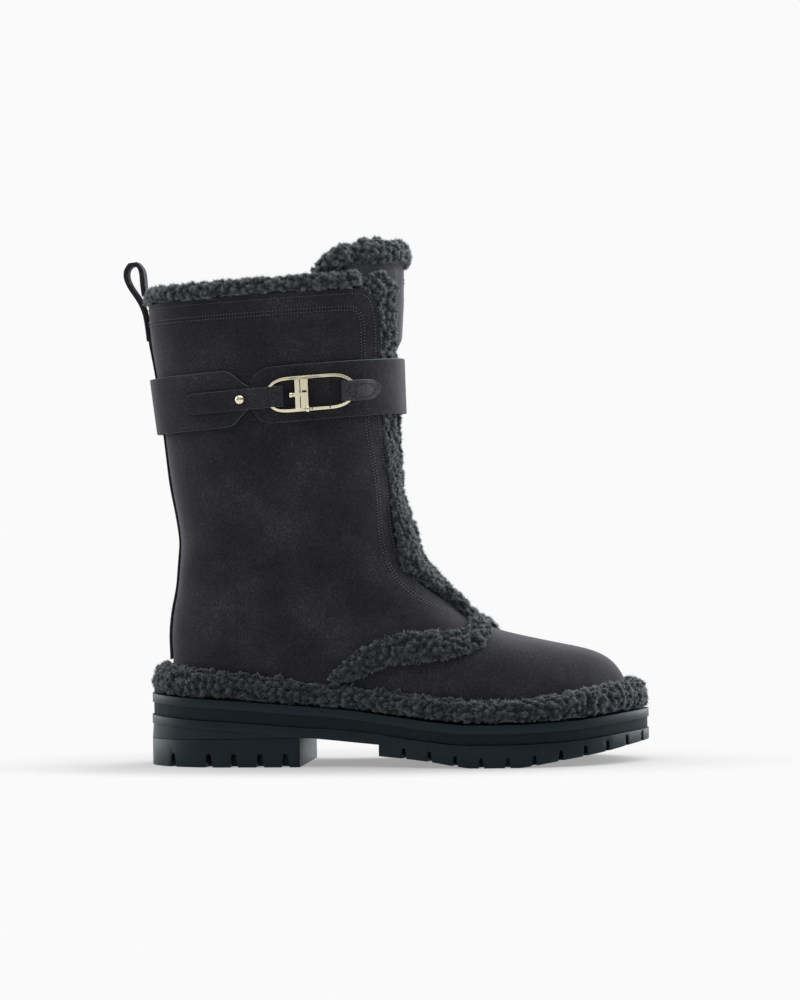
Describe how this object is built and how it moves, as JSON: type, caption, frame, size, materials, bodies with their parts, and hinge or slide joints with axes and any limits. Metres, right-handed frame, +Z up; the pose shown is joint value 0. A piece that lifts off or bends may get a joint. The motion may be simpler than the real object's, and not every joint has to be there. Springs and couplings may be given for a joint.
{
  "type": "sheepskin boot",
  "caption": "Mid-calf suede boot for the right foot, lined with shearling, with a lugged rubber sole, fur edges, a tongue and a strap with a metal clasp.",
  "frame": {"origin": "on the floor under the middle of the bounding box", "axes": "+X heel to toe, +Y towards the inner side of the right foot, +Z up"},
  "size_m": [0.304, 0.1118, 0.3038],
  "materials": {
    "suede": "charcoal suede, napped",
    "shearling": "curly charcoal shearling",
    "sole_rubber": "moulded, satin black",
    "gold_metal": "polished pale gold plate"
  },
  "bodies": {
    "root": {"outsole": "sole_rubber", "heel": "sole_rubber", "midsole": "sole_rubber", "insole": "shearling", "upper": "suede", "tongue": "suede", "tongue_trim": "shearling", "rand": "shearling", "flap_trim_lateral": "shearling", "flap_trim_medial": "shearling", "collar_trim": "shearling", "strap": "suede", "strap_tip": "suede", "clasp_tab": "suede", "clasp_frame": "gold_metal", "stud": "gold_metal", "backstay": "suede", "pull_loop": "suede"}
  },
  "joints": []
}
